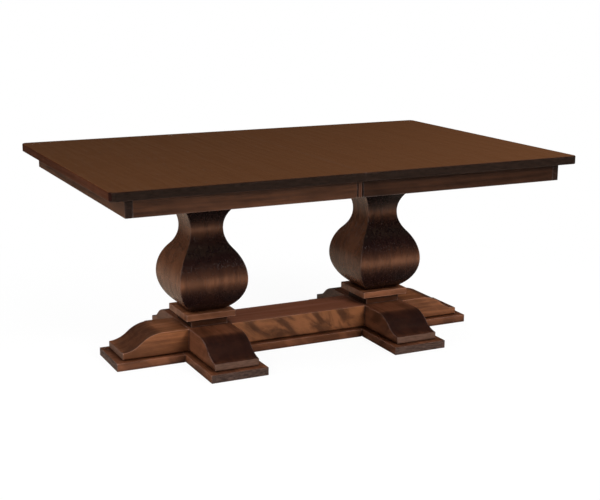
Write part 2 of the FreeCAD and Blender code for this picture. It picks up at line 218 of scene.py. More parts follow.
def squared_block(name, low, high):
    """A squared block of wood between two corners."""
    bpy.ops.object.select_all(action="DESELECT")
    bpy.ops.mesh.primitive_cube_add(size=1, location=(low + high) / 2, scale=high - low)
    return take_up(name)


def pick_edges(piece, wanted):
    """Select only the edges whose two ends pass the test."""
    bpy.ops.mesh.select_mode(type="EDGE")
    bpy.ops.mesh.select_all(action="DESELECT")
    mesh = bmesh.from_edit_mesh(piece.data)
    for edge in mesh.edges:
        if wanted(edge.verts[0].co, edge.verts[1].co):
            edge.select_set(True)
    bmesh.update_edit_mesh(piece.data)


def pick_faces(piece, wanted):
    """Select only the faces whose normal passes the test."""
    bpy.ops.mesh.select_mode(type="FACE")
    bpy.ops.mesh.select_all(action="DESELECT")
    mesh = bmesh.from_edit_mesh(piece.data)
    mesh.normal_update()
    for face in mesh.faces:
        if wanted(face.normal):
            face.select_set(True)
    bmesh.update_edit_mesh(piece.data)


def near(value, target):
    """Whether two places along an axis are the same."""
    return abs(value - target) < same_place


def round_over(size, segments):
    """Round the picked edges."""
    bpy.ops.mesh.bevel(offset=size, offset_type="OFFSET", segments=segments, affect="EDGES")


def put_down(piece, arris=eased_arris):
    """Ease the arrises that are still sharp, then shade the curves smooth and keep the flats flat."""
    bpy.ops.mesh.select_all(action="SELECT")
    bpy.ops.mesh.normals_make_consistent(inside=False)
    bpy.ops.object.mode_set(mode="OBJECT")
    easing = piece.modifiers.new("eased arrises", "BEVEL")
    easing.width = arris
    easing.segments = easing_segments
    easing.limit_method = "ANGLE"
    easing.angle_limit = sharp_angle
    bpy.ops.object.modifier_apply(modifier=easing.name)
    bpy.ops.object.shade_smooth_by_angle(angle=sharp_angle)
    flats = piece.modifiers.new("flat faces stay flat", "WEIGHTED_NORMAL")
    flats.keep_sharp = True
    bpy.ops.object.modifier_apply(modifier=flats.name)


def dress(piece, body, node, finish, facing=None):
    """Hand the piece to its body in place of its node, in its finish.

    Facing gives other finishes to the faces that look along an axis, such as the end grain.
    """
    piece.data.materials.append(finish)
    for number, (axis, other_finish) in enumerate((facing or {}).items(), start=1):
        piece.data.materials.append(other_finish)
        for face in piece.data.polygons:
            if abs(face.normal.dot(axes[axis])) > facing_share:
                face.material_index = number
    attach(piece, body)
    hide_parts(node)


def arc(start, heading, end, steps):
    """Points after start on the arc that leaves along heading and ends at end, and its last heading."""
    across = end - start
    normal = Vector((-heading.y, heading.x))
    turn = 2 * math.atan2(across.dot(normal), across.dot(heading))
    radius = across.length / (2 * math.sin(turn / 2))
    points = []
    for step in range(1, steps + 1):
        angle = turn * step / steps
        points.append(start + heading * radius * math.sin(angle) + normal * radius * (1 - math.cos(angle)))
    return points, heading * math.cos(turn) + normal * math.sin(turn)


# Pieces


def top_half(side, body, outward, finish, facing):
    """Half of the top: rounded outer corners, rounded rim, crisp seam."""
    node = side + "_top_panel"
    low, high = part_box(node)
    outer_x = high.x if outward > 0 else low.x
    if outward > 0:
        low.x = seam_x
    else:
        high.x = seam_x
    piece = squared_block(side + "_top", low, high)

    def is_outer_corner(a, b):
        return near(a.x, outer_x) and near(b.x, outer_x) and near(a.y, b.y)

    def is_rim(a, b, height):
        on_seam = near(a.x, seam_x) and near(b.x, seam_x)
        return near(a.z, height) and near(b.z, height) and not on_seam

    pick_edges(piece, is_outer_corner)
    round_over(corner_radius, corner_segments)
    pick_edges(piece, lambda a, b: is_rim(a, b, high.z))
    round_over(upper_arris, upper_segments)
    pick_edges(piece, lambda a, b: is_rim(a, b, low.z))
    round_over(under_arris, under_segments)
    put_down(piece, seam_arris)
    if outward > 0:
        drill_pin_holes(piece)
    dress(piece, body, node, finish, facing)


def drill_pin_holes(panel):
    """Holes in the seam face of the right half that take the pins of the left half."""
    low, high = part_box("seam_pins")
    pin_z = (low.z + high.z) / 2
    pin_y = high.y - (high.z - low.z) / 2
    for y in (-pin_y, 0, pin_y):
        bpy.ops.object.select_all(action="DESELECT")
        bpy.ops.mesh.primitive_cylinder_add(
            vertices=pin_hole_sides, radius=pin_hole_radius, depth=2 * pin_hole_depth,
            location=(seam_x, y, pin_z), rotation=(0, math.pi / 2, 0),
        )
        drill = bpy.context.object
        bpy.context.view_layer.objects.active = panel
        hole = panel.modifiers.new("pin hole", "BOOLEAN")
        hole.operation = "DIFFERENCE"
        hole.object = drill
        bpy.ops.object.modifier_apply(modifier=hole.name)
        bpy.data.objects.remove(drill)


def eased_board(name, node, body, finish, facing=None):
    """A squared board with its arrises eased, in place of its node."""
    low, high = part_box(node)
    piece = squared_block(name, low, high)
    put_down(piece)
    dress(piece, body, node, finish, facing)


def seam_strips(finish):
    """Narrow strips that cover the seam in the front and back aprons."""
    low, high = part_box("seam_strips")
    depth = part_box("left_front_apron")[1].y - low.y
    piece = squared_block("seam_strips", low, Vector((high.x, low.y + depth, high.z)))
    bpy.ops.mesh.select_all(action="SELECT")
    bpy.ops.mesh.duplicate_move(TRANSFORM_OT_translate={"value": (0, high.y - low.y - depth, 0)})
    put_down(piece)
    dress(piece, "left_top", "seam_strips", finish)


def urn_profile(bottom, top, belly_half):
    """Half width and height of the urn from its foot to the top of its square head."""

    def at(half, share):
        return Vector((half, bottom + share * (top - bottom)))

    foot = at(urn_foot_half, 0)
    belly = at(belly_half, belly_share)
    shoulder = at(urn_shoulder_half, shoulder_share)
    flare = at(urn_head_half, head_share)
    below, _ = arc(belly, Vector((0, -1)), foot, below_belly_steps)
    above, slope = arc(belly, Vector((0, 1)), shoulder, above_belly_steps)
    neck, _ = arc(shoulder, slope, flare, neck_steps)
    return below[::-1] + [belly] + above + neck + [at(urn_head_half, 1)]


def urn_post(side, finish):
    """Square post whose four faces follow one urn curve, drawn up from its foot."""
    node = "urn_post_" + side
    low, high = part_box(node)
    axis_x = (low.x + high.x) / 2
    profile = urn_profile(low.z, high.z, (high.x - low.x) / 2)
    bpy.ops.object.select_all(action="DESELECT")
    bpy.ops.mesh.primitive_plane_add(size=2 * urn_foot_half, location=(axis_x, 0, low.z))
    piece = take_up("urn_" + side)
    bpy.ops.mesh.select_all(action="SELECT")
    for here, there in zip(profile, profile[1:]):
        bpy.ops.mesh.extrude_region_move(TRANSFORM_OT_translate={"value": (0, 0, there.y - here.y)})
        widen = there.x / here.x
        bpy.ops.transform.resize(value=(widen, widen, 1), center_override=(axis_x, 0, there.y))
    put_down(piece)
    dress(piece, "base", node, finish)


def ogee_profile(foot_top, foot_reach):
    """Reach and height of a foot's top from its flat over the ogee to the nose."""
    flat = Vector((flat_reach, foot_top))
    turn = Vector((turn_reach, turn_height))
    nose = Vector((foot_reach, nose_height))
    crest, slope = arc(flat, Vector((1, 0)), turn, crest_steps)
    cove, _ = arc(turn, slope, nose, cove_steps)
    return [flat] + crest + cove


def draw_out_ogee(piece, outward, profile, sole):
    """Draw the end face of a foot out along the ogee."""
    pick_faces(piece, lambda normal: normal.dot(outward) > square_on)
    for here, there in zip(profile, profile[1:]):
        step = outward * (there.x - here.x)
        bpy.ops.mesh.extrude_region_move(TRANSFORM_OT_translate={"value": step})
        lower = (there.y - sole) / (here.y - sole)
        bpy.ops.transform.resize(value=(1, 1, lower), center_override=(0, 0, sole))


def round_under(piece, sole, squared_ends=()):
    """Round the under edges of a beam, apart from those at its squared ends."""
    places = [vert.co.copy() for vert in bmesh.from_edit_mesh(piece.data).verts]
    rims = []
    for axis in (0, 1):
        for limit in (min, max):
            rim = limit(place[axis] for place in places)
            if not any(near(rim, end) for end in squared_ends):
                rims.append((axis, rim))

    def is_under_edge(a, b):
        on_sole = near(a.z, sole) and near(b.z, sole)
        return on_sole and any(near(a[axis], rim) and near(b[axis], rim) for axis, rim in rims)

    pick_edges(piece, is_under_edge)
    round_over(under_round, under_round_segments)


def cross_foot(side, finish, facing):
    """Front to back foot with an ogee at both ends."""
    node = "cross_foot_" + side
    low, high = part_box(node)
    profile = ogee_profile(high.z, high.y)
    piece = squared_block("foot_across_" + side, Vector((low.x, -flat_reach, low.z)),
                          Vector((high.x, flat_reach, high.z)))
    draw_out_ogee(piece, Vector((0, -1, 0)), profile, low.z)
    draw_out_ogee(piece, Vector((0, 1, 0)), profile, low.z)
    round_under(piece, low.z)
    put_down(piece)
    dress(piece, "base", node, finish, facing)


def end_foot(side, outward, finish, facing):
    """Foot at the table's end, squared off against the cross foot."""
    node = "end_foot_" + side
    low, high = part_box(node)
    hub_low, hub_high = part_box("cross_foot_" + side)
    axis_x = (hub_low.x + hub_high.x) / 2
    flat_x = axis_x + outward * flat_reach
    inner_x = low.x if outward > 0 else high.x
    outer_reach = abs((high.x if outward > 0 else low.x) - axis_x)
    start = Vector((min(flat_x, inner_x), low.y, low.z))
    stop = Vector((max(flat_x, inner_x), high.y, high.z))
    piece = squared_block("foot_end_" + side, start, stop)
    draw_out_ogee(piece, Vector((outward, 0, 0)), ogee_profile(high.z, outer_reach), low.z)
    round_under(piece, low.z, [inner_x])
    put_down(piece)
    dress(piece, "base", node, finish, facing)


def stretcher_beam(finish, facing):
    """Beam between the two pedestals, rounded underneath as the feet are."""
    low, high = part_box("stretcher")
    piece = squared_block("stretcher_beam", low, high)
    round_under(piece, low.z, [low.x, high.x])
    put_down(piece)
    dress(piece, "base", "stretcher", finish, facing)


def screw_head(name, place):
    """Pan head with a round socket, facing the floor."""
    bpy.ops.object.select_all(action="DESELECT")
    middle = Vector(place) - Vector((0, 0, screw_height / 2))
    bpy.ops.mesh.primitive_cylinder_add(
        vertices=screw_sides, radius=screw_radius, depth=screw_height, location=middle,
    )
    piece = take_up(name)
    pick_faces(piece, lambda normal: normal.z < -square_on)
    bpy.ops.mesh.inset(thickness=screw_wall)
    bpy.ops.mesh.extrude_region_move(TRANSFORM_OT_translate={"value": (0, 0, screw_socket)})
    put_down(piece, screw_arris)
    return piece


def copied_screw(first, name, place, start):
    """Another screw like the first, with its own mesh."""
    copy = first.copy()
    copy.data = first.data.copy()
    copy.name = name
    copy.data.name = name
    bpy.context.scene.collection.objects.link(copy)
    copy.data.transform(Matrix.Translation(Vector(place) - Vector(start)))
    return copy


def screw_places():
    """Body and place of every screw head that shows from below."""
    places = []
    for body, half, outward in (("left_top", "left", -1), ("right_top", "right", 1)):
        for rail in ("front", "back"):
            low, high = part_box(half + "_rail_" + rail)
            middle_y = (low.y + high.y) / 2
            for reach in rail_screw_places:
                places.append((body, (outward * reach, middle_y, low.z)))
    rail_low, rail_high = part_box("centre_rail_back")
    rail_y = (rail_low.y + rail_high.y) / 2
    for side in ("left", "right"):
        low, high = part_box("cleat_" + side)
        quarter = (high.x - low.x) / 4
        for x in (low.x + quarter, high.x - quarter):
            for y in (-rail_y, rail_y):
                places.append(("base", (x, y, low.z)))
    return places


def screws(finish):
    """Screws under the moving rails and the cleats."""
    first = None
    for number, (body, place) in enumerate(screw_places(), start=1):
        name = "screw_%02d" % number
        if first is None:
            first = screw_head(name, place)
            start = place
            first.data.materials.append(finish)
            piece = first
        else:
            piece = copied_screw(first, name, place, start)
        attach(piece, body)


# Node helpers


def feed(tree, socket, value):
    """Link a socket to another, or set it to a plain value."""
    if isinstance(value, bpy.types.NodeSocket):
        tree.links.new(value, socket)
    else:
        socket.default_value = value


def reckon(tree, operation, first, second=0.0):
    """Arithmetic on one or two values."""
    node = tree.nodes.new("ShaderNodeMath")
    node.operation = operation
    feed(tree, node.inputs[0], first)
    feed(tree, node.inputs[1], second)
    return node.outputs[0]


def spread(tree, value, low, high, to_low=0.0, to_high=1.0):
    """Carry a value from one range to another, eased at both ends."""
    node = tree.nodes.new("ShaderNodeMapRange")
    node.interpolation_type = "SMOOTHSTEP"
    feed(tree, node.inputs[0], value)
    for socket, number in zip(node.inputs[1:5], (low, high, to_low, to_high)):
        socket.default_value = number
    return node.outputs[0]


def mottle(tree, vector, stretch, detail, roughness=0.55, distortion=0.0):
    """Noise with its own size along each axis."""
    scaled = tree.nodes.new("ShaderNodeVectorMath")
    scaled.operation = "MULTIPLY"
    feed(tree, scaled.inputs[0], vector)
    scaled.inputs[1].default_value = stretch
    noise = tree.nodes.new("ShaderNodeTexNoise")
    feed(tree, noise.inputs["Vector"], scaled.outputs[0])
    noise.inputs["Scale"].default_value = 1.0
    noise.inputs["Detail"].default_value = detail
    noise.inputs["Roughness"].default_value = roughness
    noise.inputs["Distortion"].default_value = distortion
    return noise.outputs[0]


def tint(tree, factor, first, second, mode="MIX"):
    """Two colours mixed by a factor."""
    node = tree.nodes.new("ShaderNodeMix")
    node.data_type = "RGBA"
    node.blend_type = mode
    feed(tree, node.inputs[0], factor)
    feed(tree, node.inputs[6], first)
    feed(tree, node.inputs[7], second)
    return node.outputs[2]


def blend(tree, factor, first, second):
    """Two shaders mixed by a factor."""
    node = tree.nodes.new("ShaderNodeMixShader")
    feed(tree, node.inputs[0], factor)
    feed(tree, node.inputs[1], first.outputs[0])
    feed(tree, node.inputs[2], second.outputs[0])
    return node


def new_group(name, inputs, outputs):
    """An empty shader group with its sockets, and its two end nodes."""
    tree = bpy.data.node_groups.new(name, "ShaderNodeTree")
    for label, kind in inputs:
        tree.interface.new_socket(label, in_out="INPUT", socket_type=kind)
    for label, kind in outputs:
        tree.interface.new_socket(label, in_out="OUTPUT", socket_type=kind)
    return tree, tree.nodes.new("NodeGroupInput"), tree.nodes.new("NodeGroupOutput")


def use_group(tree, group):
    """A group placed in a tree."""
    node = tree.nodes.new("ShaderNodeGroup")
    node.node_tree = group
    return node


# Shared effects


def to_nearest_joint(tree, count, size):
    """Distance to the nearest joint between boards of a size, where count is a place in boards."""
    return reckon(tree, "MULTIPLY", reckon(tree, "PINGPONG", count, 0.5), size)


def glued_boards_group():
    """Boards glued side by side: the grain starts afresh in each, and each takes the stain its own way."""
    tree, given, result = new_group(
        "glued boards",
        [("Vector", "NodeSocketVector"), ("Width", "NodeSocketFloat"), ("Depth", "NodeSocketFloat")],
        [("Vector", "NodeSocketVector"), ("Tone", "NodeSocketFloat"), ("Glue Line", "NodeSocketFloat")],
    )
    split = tree.nodes.new("ShaderNodeSeparateXYZ")
    feed(tree, split.inputs[0], given.outputs["Vector"])
    across = reckon(tree, "DIVIDE", split.outputs[1], given.outputs["Width"])
    through = reckon(tree, "DIVIDE", split.outputs[2], given.outputs["Depth"])
    number = reckon(tree, "MULTIPLY", reckon(tree, "FLOOR", across), row_step)
    number = reckon(tree, "ADD", number, reckon(tree, "FLOOR", through))
    chance = tree.nodes.new("ShaderNodeTexWhiteNoise")
    chance.noise_dimensions = "1D"
    feed(tree, chance.inputs["W"], number)
    moved = tree.nodes.new("ShaderNodeVectorMath")
    moved.operation = "MULTIPLY_ADD"
    feed(tree, moved.inputs[0], chance.outputs["Color"])
    moved.inputs[1].default_value = board_shift
    feed(tree, moved.inputs[2], given.outputs["Vector"])
    to_side = to_nearest_joint(tree, across, given.outputs["Width"])
    to_face = to_nearest_joint(tree, through, given.outputs["Depth"])
    nearest = reckon(tree, "MINIMUM", to_side, to_face)
    feed(tree, result.inputs["Vector"], moved.outputs[0])
    feed(tree, result.inputs["Tone"], chance.outputs["Value"])
    feed(tree, result.inputs["Glue Line"], spread(tree, nearest, *glue_fade, to_low=1.0, to_high=0.0))
    return tree


def wood_figure_group():
    """Long streaks, slanting flames and short pores of wood whose grain runs along X."""
    tree, given, result = new_group(
        "wood figure",
        [("Vector", "NodeSocketVector")],
        [("Streak", "NodeSocketFloat"), ("Flame", "NodeSocketFloat"), ("Pore", "NodeSocketFloat")],
    )
    vector = given.outputs["Vector"]
    broad = mottle(tree, vector, broad_streaks, detail=4.0, roughness=0.6, distortion=0.4)
    fine = mottle(tree, vector, fine_streaks, detail=5.0, roughness=0.65)
    streak = reckon(tree, "MULTIPLY", reckon(tree, "ADD", broad, fine), 0.5)
    slanted = tree.nodes.new("ShaderNodeVectorRotate")
    slanted.rotation_type = "Y_AXIS"
    slanted.inputs["Angle"].default_value = flame_slant
    feed(tree, slanted.inputs["Vector"], vector)
    flame = mottle(tree, slanted.outputs[0], flames, detail=6.0, roughness=0.62, distortion=0.5)
    pore = mottle(tree, vector, pores, detail=1.0)
    feed(tree, result.inputs["Streak"], spread(tree, streak, *streak_range))
    feed(tree, result.inputs["Flame"], spread(tree, flame, *flame_range))
    feed(tree, result.inputs["Pore"], spread(tree, pore, *pore_range))
    return tree


def thirst_and_shade_group():
    """How far a surface cuts across the grain, which runs along X: there it darkens, partly with the stain
    that the cut grain drinks and partly as painted shade.

    Faces that look along Y take all of it, and the others no more than their side share: a painted
    difference of shade between the faces.
    """
    tree, given, result = new_group(
        "thirst and painted shade of cut grain",
        [
            ("Normal", "NodeSocketVector"),
            ("Half Slope", "NodeSocketFloat"),
            ("Side Share", "NodeSocketFloat"),
        ],
        [("Thirst And Shade", "NodeSocketFloat")],
    )
    split = tree.nodes.new("ShaderNodeSeparateXYZ")
    feed(tree, split.inputs[0], given.outputs["Normal"])
    slope = reckon(tree, "MULTIPLY", split.outputs[0], split.outputs[0])
    half = reckon(tree, "MULTIPLY", given.outputs["Half Slope"], given.outputs["Half Slope"])
    cut = reckon(tree, "DIVIDE", slope, reckon(tree, "ADD", slope, half))
    faces_along_y = spread(tree, reckon(tree, "ABSOLUTE", split.outputs[1]), *faces_along_y_range)
    share = reckon(tree, "MAXIMUM", faces_along_y, given.outputs["Side Share"])
    feed(tree, result.inputs["Thirst And Shade"], reckon(tree, "MULTIPLY", cut, share))
    return tree


def corner_shade_and_stain_group():
    """Inner corners, darkened with painted shade and partly with the stain that the wipe-off cloth leaves
    thick.
    """
    tree, given, result = new_group(
        "corner shade and stain", [("Reach", "NodeSocketFloat")], [("Corner Shade", "NodeSocketFloat")]
    )
    open_sky = tree.nodes.new("ShaderNodeAmbientOcclusion")
    open_sky.samples = corner_samples
    feed(tree, open_sky.inputs["Distance"], given.outputs["Reach"])
    corner_dark = spread(tree, open_sky.outputs["AO"], *corner_shade_range, to_low=1.0, to_high=0.0)
    feed(tree, result.inputs["Corner Shade"], corner_dark)
    return tree


def worn_and_highlit_arris_group():
    """Arrises, partly worn by a cloth and partly given a painted highlight: there the wood behind the
    surface is thin.
    """
    tree, given, result = new_group(
        "worn and highlit arris", [("Vector", "NodeSocketVector")], [("Wear And Highlight", "NodeSocketFloat")]
    )
    behind = tree.nodes.new("ShaderNodeAmbientOcclusion")
    behind.samples = corner_samples
    behind.inside = True
    behind.inputs["Distance"].default_value = arris_depth
    edge = spread(tree, behind.outputs["AO"], *wear_and_highlight_range, to_low=1.0, to_high=0.0)
    patches = mottle(tree, given.outputs["Vector"], arris_mark_patches, detail=3.0)
    patchy = spread(tree, patches, *patch_range, to_low=least_patch)
    feed(tree, result.inputs["Wear And Highlight"], reckon(tree, "MULTIPLY", edge, patchy))
    return tree


# Finishes


def new_finish(name, grain="X"):
    """A material with its shader, and the piece's own place, turned so that the grain runs along X."""
    finish = bpy.data.materials.new(name)
    finish.use_nodes = True
    tree = finish.node_tree
    place = tree.nodes.new("ShaderNodeTexCoord")
    turned = tree.nodes.new("ShaderNodeMapping")
    turned.inputs["Rotation"].default_value = grain_turns[grain]
    feed(tree, turned.inputs["Vector"], place.outputs["Object"])
    return finish, tree, tree.nodes["Principled BSDF"], turned.outputs[0]


def laid_boards(tree, place, width, depth):
    """Boards of one width and depth, glued side by side."""
    boards = use_group(tree, glued_boards)
    feed(tree, boards.inputs["Vector"], place)
    boards.inputs["Width"].default_value = width
    boards.inputs["Depth"].default_value = depth
    return boards


def cut_grain(tree, grain, half_slope, side_share):
    """Where the surface cuts across the grain, from its own normal."""
    place = tree.nodes.new("ShaderNodeTexCoord")
    facing = tree.nodes.new("ShaderNodeMapping")
    facing.vector_type = "NORMAL"
    facing.inputs["Rotation"].default_value = grain_turns[grain]
    feed(tree, facing.inputs["Vector"], place.outputs["Normal"])
    cut = use_group(tree, thirst_and_shade)
    feed(tree, cut.inputs["Normal"], facing.outputs[0])
    cut.inputs["Half Slope"].default_value = half_slope
    cut.inputs["Side Share"].default_value = side_share
    return cut.outputs["Thirst And Shade"]


def shade_corners(tree, colour, reach):
    """Darken the inner corners with painted shade, partly stain left thick."""
    corners = use_group(tree, corner_shade_and_stain)
    corners.inputs["Reach"].default_value = reach
    return tint(tree, corners.outputs["Corner Shade"], colour, shade_and_stain_tint, "MULTIPLY")


def wear_and_highlight_arrises(tree, place, colour, worn_and_highlit, share):
    """Lighten the arrises towards a worn colour, partly wear and partly painted highlight."""
    arris_marks = use_group(tree, worn_and_highlit_arris)
    feed(tree, arris_marks.inputs["Vector"], place)
    return tint(tree, reckon(tree, "MULTIPLY", arris_marks.outputs["Wear And Highlight"], share), colour, (*worn_and_highlit, 1))


def relief(tree, shader, height, strength, depth):
    """Raise and sink the surface by a height."""
    bump = tree.nodes.new("ShaderNodeBump")
    bump.inputs["Strength"].default_value = strength
    bump.inputs["Distance"].default_value = depth
    feed(tree, bump.inputs["Height"], height)
    feed(tree, shader.inputs["Normal"], bump.outputs[0])


def figured_share(tree, figure, boards, flame):
    """Where the wood lies between its deep tone and its warm tone."""
    streak = reckon(tree, "MULTIPLY", figure.outputs["Streak"], 1 - tone_share - flame)
    flamed = reckon(tree, "MULTIPLY", figure.outputs["Flame"], flame)
    tone = reckon(tree, "MULTIPLY", boards.outputs["Tone"], tone_share)
    return reckon(tree, "ADD", reckon(tree, "ADD", streak, flamed), tone)


def darken_pores(tree, figure, boards, colour, deep):
    """Darken the pores and the glue lines to a shade of the deep tone."""
    pore = reckon(tree, "MULTIPLY", figure.outputs["Pore"], pore_share)
    glue = reckon(tree, "MULTIPLY", boards.outputs["Glue Line"], glue_share)
    dark = [pore_shade * part for part in deep]
    return tint(tree, reckon(tree, "MAXIMUM", pore, glue), colour, (*dark, 1))


def stained_wood(name, grain, deep, warm, width=whole, depth=whole, flame=0.2, soak_and_shade=0.8, half_slope=0.1,
                 side_share=1.0, corner_reach=0.028, rough=(0.28, 0.40), wear_and_highlight_share=0.85, gloss=0.5):
    """Stained and lacquered wood, from the deep tone of its streaks to the warm tone between them.

    Width and depth are those of its boards. Flame is how far the flames show. The cut grain darkens, partly
    with the stain it takes up and partly as painted shade, by its given share, half of it at the half
    slope.
    Corner reach is how far the painted shade of inner corners, partly stain left thick, reaches from a
    corner, and rough is the roughness of the warm tone and of the deep tone.
    """
    finish, tree, shader, place = new_finish(name, grain)
    boards = laid_boards(tree, place, width, depth)
    figure = use_group(tree, wood_figure)
    feed(tree, figure.inputs["Vector"], boards.outputs["Vector"])
    share = figured_share(tree, figure, boards, flame)
    colour = tint(tree, share, (*deep, 1), (*warm, 1))
    # Cut grain darkens with the stain it drinks and as painted shade
    soaked_and_shaded = reckon(tree, "MULTIPLY", cut_grain(tree, grain, half_slope, side_share), soak_and_shade)
    colour = tint(tree, soaked_and_shaded, colour, drunk_stain_shade_and_sheen)
    colour = darken_pores(tree, figure, boards, colour, deep)
    # Inner corners darken with painted shade, partly stain left thick
    colour = shade_corners(tree, colour, corner_reach)
    # Arrises lighten towards a worn colour that is also a painted highlight
    worn_and_highlit = [part + wear_and_highlight_lift for part in warm]
    colour = wear_and_highlight_arrises(tree, place, colour, worn_and_highlit, wear_and_highlight_share)
    feed(tree, shader.inputs["Base Color"], colour)
    dullness = spread(tree, share, 0.1, 0.9, to_low=rough[1], to_high=rough[0])
    feed(tree, shader.inputs["Roughness"], dullness)
    shader.inputs["Specular IOR Level"].default_value = gloss
    raised = reckon(tree, "MULTIPLY", figure.outputs["Streak"], streak_relief)
    height = reckon(tree, "SUBTRACT", raised, figure.outputs["Pore"])
    relief(tree, shader, height, strength=0.12, depth=wood_relief)
    return finish


def end_grain(name, grain, deep, warm, width=whole):
    """Thirsty end grain that drank the stain: dark, dull and specked across the boards' ends."""
    finish, tree, shader, place = new_finish(name, grain)
    boards = laid_boards(tree, place, width, whole)
    rings = mottle(tree, boards.outputs["Vector"], end_rings, detail=4.0, roughness=0.6, distortion=0.5)
    specks = mottle(tree, boards.outputs["Vector"], end_specks, detail=2.0)
    ringed = reckon(tree, "MULTIPLY", rings, 1 - speck_share)
    specked = reckon(tree, "MULTIPLY", specks, speck_share)
    share = reckon(tree, "ADD", ringed, specked)
    colour = tint(tree, spread(tree, share, *end_range), (*deep, 1), (*warm, 1))
    # Arrises of end grain lighten, partly wear and partly painted highlight
    worn_and_highlit = [end_wear_and_highlight_gain * part + end_wear_and_highlight_lift for part in warm]
    colour = wear_and_highlight_arrises(tree, place, colour, worn_and_highlit, end_wear_and_highlight_share)
    feed(tree, shader.inputs["Base Color"], colour)
    dullness = spread(tree, share, 0.3, 0.7, to_low=0.62, to_high=0.48)
    feed(tree, shader.inputs["Roughness"], dullness)
    relief(tree, shader, specks, strength=0.15, depth=wood_relief)
    return finish


def zinc_steel():
    """Zinc plated steel with fine drawing marks and a faint yellow bloom."""
    finish, tree, shader, place = new_finish("zinc plated steel")
    marks = mottle(tree, place, drawing_marks, detail=3.0)
    bloom = mottle(tree, place, zinc_bloom, detail=4.0)
    colour = tint(tree, spread(tree, bloom, *bloom_range), zinc_grey, zinc_yellow)
    feed(tree, shader.inputs["Base Color"], colour)
    shader.inputs["Metallic"].default_value = 1.0
    dullness = spread(tree, marks, 0.3, 0.7, to_low=0.28, to_high=0.44)
    feed(tree, shader.inputs["Roughness"], dullness)
    relief(tree, shader, marks, strength=0.1, depth=steel_relief)
    return finish


# Studio


def away_from(tree, middle):
    """Distance on the floor from a point."""
    place = tree.nodes.new("ShaderNodeTexCoord")
    away = tree.nodes.new("ShaderNodeVectorMath")
    away.operation = "DISTANCE"
    feed(tree, away.inputs[0], place.outputs["Object"])
    away.inputs[1].default_value = middle
    return away.outputs["Value"]


def light_pool(tree):
    """Pool of light for the lacquer to mirror: dim at its heart, brighter round that, fading outwards."""
    pool = tree.nodes.new("ShaderNodeEmission")
    pool.inputs["Color"].default_value = pool_colour
    distance = away_from(tree, pool_middle)
    rising = spread(tree, distance, pool_heart_reach, pool_ring_reach, pool_heart, pool_ring)
    fading = reckon(tree, "DIVIDE", pool_fade, distance)
    feed(tree, pool.inputs["Strength"], reckon(tree, "MINIMUM", rising, fading))
    return pool


def shadowed_white(tree):
    """White that keeps a faint shadow near the table."""
    shadow = tree.nodes.new("ShaderNodeBsdfDiffuse")
    shadow.inputs["Color"].default_value = shadow_grey
    glow = tree.nodes.new("ShaderNodeEmission")
    glow.inputs["Strength"].default_value = shadow_glow
    shadowed = tree.nodes.new("ShaderNodeAddShader")
    feed(tree, shadowed.inputs[0], shadow.outputs[0])
    feed(tree, shadowed.inputs[1], glow.outputs[0])
    white = tree.nodes.new("ShaderNodeEmission")
    return blend(tree, spread(tree, away_from(tree, (0, 0, 0)), *shadow_reach), shadowed, white)


def floor_finish():
    """White to the camera, a pool of light to mirrored rays, and a grey bounce to the others."""
    finish = bpy.data.materials.new("studio floor")
    finish.use_nodes = True
    tree = finish.node_tree
    tree.nodes.clear()
    bounce = tree.nodes.new("ShaderNodeBsdfDiffuse")
    bounce.inputs["Color"].default_value = bounce_grey
    ray = tree.nodes.new("ShaderNodeLightPath")
    mirrored = reckon(tree, "MAXIMUM", ray.outputs["Is Glossy Ray"], ray.outputs["Is Transmission Ray"])
    unseen = blend(tree, mirrored, bounce, light_pool(tree))
    shown = blend(tree, ray.outputs["Is Camera Ray"], unseen, shadowed_white(tree))
    out = tree.nodes.new("ShaderNodeOutputMaterial")
    feed(tree, out.inputs["Surface"], shown.outputs[0])
    return finish


def white_floor():
    """A wide floor just under the table."""
    bpy.ops.object.select_all(action="DESELECT")
    bpy.ops.mesh.primitive_plane_add(size=floor_size, location=(0, 0, -floor_drop))
    floor = bpy.context.object
    floor.name = "floor"
    floor.data.materials.append(floor_finish())


def dim_room():
    """A dim room about the table, which shows white past the floor."""
    world = bpy.data.worlds.new("dim room")
    bpy.context.scene.world = world
    world.use_nodes = True
    tree = world.node_tree
    room = tree.nodes["Background"]
    room.inputs["Color"].default_value = room_grey
    white = tree.nodes.new("ShaderNodeBackground")
    white.inputs["Color"].default_value = (1, 1, 1, 1)
    ray = tree.nodes.new("ShaderNodeLightPath")
    shown = blend(tree, ray.outputs["Is Camera Ray"], room, white)
    feed(tree, tree.nodes["World Output"].inputs["Surface"], shown.outputs[0])


def softbox(name, place, aim, width, height, power):
    """A large soft lamp at a place, turned to a point, that the lacquer doesn't mirror."""
    lamp = bpy.data.lights.new(name, "AREA")
    lamp.shape = "RECTANGLE"
    lamp.size = width
    lamp.size_y = height
    lamp.energy = power
    box = bpy.data.objects.new(name, lamp)
    bpy.context.scene.collection.objects.link(box)
    box.location = place
    box.rotation_euler = (Vector(aim) - Vector(place)).to_track_quat("-Z", "Y").to_euler()
    box.visible_glossy = False


